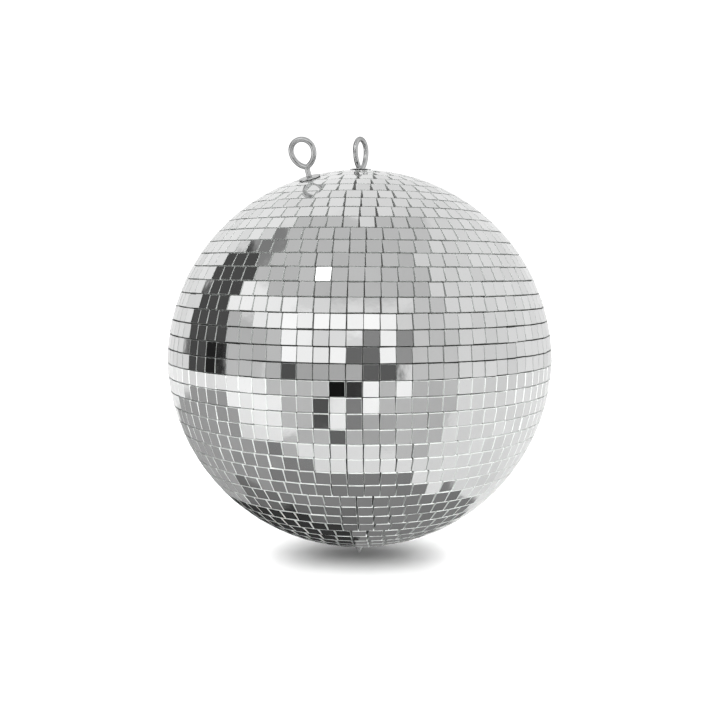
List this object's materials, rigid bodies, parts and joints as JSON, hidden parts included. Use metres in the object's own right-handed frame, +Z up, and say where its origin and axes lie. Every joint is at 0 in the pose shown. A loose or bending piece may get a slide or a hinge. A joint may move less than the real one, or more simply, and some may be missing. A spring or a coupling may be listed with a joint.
{
  "type": "mirror ball",
  "caption": "Hanging ball of square glass mirror tiles on a hollow plastic core, with a wire eye on its axis, a second safety eye beside it and a pointed nut underneath",
  "frame": {"origin": "top of the opening of the hanging eye, where a hook bears, on the ball's axis; the ball's middle is 169.45 mm below", "axes": "+Z up along the ball's axis; the safety eye stands at the front left, so -Y is the front and +X the right"},
  "size_m": [0.3002, 0.3002, 0.3322],
  "materials": {
    "mirror_tiles": "silvered glass, polished face, ground edges",
    "adhesive": "cured white adhesive, uneven",
    "core_plastic": "moulded, fine grain",
    "plate_steel": "pressed sheet",
    "zinc_wire": "zinc plated wire, satin",
    "zinc_hardware": "zinc plated, satin"
  },
  "bodies": {
    "hanger": {"hanging_eye": "zinc_wire", "hanging_eye_cup_washer": "zinc_hardware", "eye_lock_nut": "zinc_hardware", "rod_coupling_nut": "zinc_hardware", "centre_rod": "zinc_hardware", "bottom_washer": "zinc_hardware", "bottom_cone_nut": "zinc_hardware"},
    "ball": {"upper_shell": "core_plastic", "lower_shell": "core_plastic", "upper_adhesive_coat": "adhesive", "lower_adhesive_coat": "adhesive", "crown_plate": "plate_steel", "upper_tile_row_01": "mirror_tiles", "upper_tile_row_02": "mirror_tiles", "upper_tile_row_03": "mirror_tiles", "upper_tile_row_04": "mirror_tiles", "upper_tile_row_05": "mirror_tiles", "upper_tile_row_06": "mirror_tiles", "upper_tile_row_07": "mirror_tiles", "upper_tile_row_08": "mirror_tiles", "upper_tile_row_09": "mirror_tiles", "upper_tile_row_10": "mirror_tiles", "upper_tile_row_11": "mirror_tiles", "upper_tile_row_12": "mirror_tiles", "upper_tile_row_13": "mirror_tiles", "upper_tile_row_14": "mirror_tiles", "upper_tile_row_15": "mirror_tiles", "upper_tile_row_16": "mirror_tiles", "upper_tile_row_17": "mirror_tiles", "upper_tile_row_18": "mirror_tiles", "upper_tile_row_19": "mirror_tiles", "upper_tile_row_20": "mirror_tiles", "upper_tile_row_21": "mirror_tiles", "lower_tile_row_01": "mirror_tiles", "lower_tile_row_02": "mirror_tiles", "lower_tile_row_03": "mirror_tiles", "lower_tile_row_04": "mirror_tiles", "lower_tile_row_05": "mirror_tiles", "lower_tile_row_06": "mirror_tiles", "lower_tile_row_07": "mirror_tiles", "lower_tile_row_08": "mirror_tiles", "lower_tile_row_09": "mirror_tiles", "lower_tile_row_10": "mirror_tiles", "lower_tile_row_11": "mirror_tiles", "lower_tile_row_12": "mirror_tiles", "lower_tile_row_13": "mirror_tiles", "lower_tile_row_14": "mirror_tiles", "lower_tile_row_15": "mirror_tiles", "lower_tile_row_16": "mirror_tiles", "lower_tile_row_17": "mirror_tiles", "lower_tile_row_18": "mirror_tiles", "lower_tile_row_19": "mirror_tiles", "lower_tile_row_20": "mirror_tiles", "lower_tile_row_21": "mirror_tiles"},
    "safety_eye": {"safety_eye": "zinc_wire", "safety_eye_outer_washer": "zinc_hardware", "safety_eye_inner_washer": "zinc_hardware", "safety_eye_nut": "zinc_hardware"}
  },
  "joints": [
    {"name": "ball_spin", "type": "hinge", "parent": "hanger", "child": "ball", "pos_m": [0, 0, -0.16945], "axis": [0, 0, 1], "continuous": true},
    {"name": "safety_eye_turn", "type": "hinge", "parent": "ball", "child": "safety_eye", "pos_m": [-0.03821, -0.03563, -0.03052], "axis": [-0.2529, -0.2359, 0.9383], "continuous": true}
  ]
}
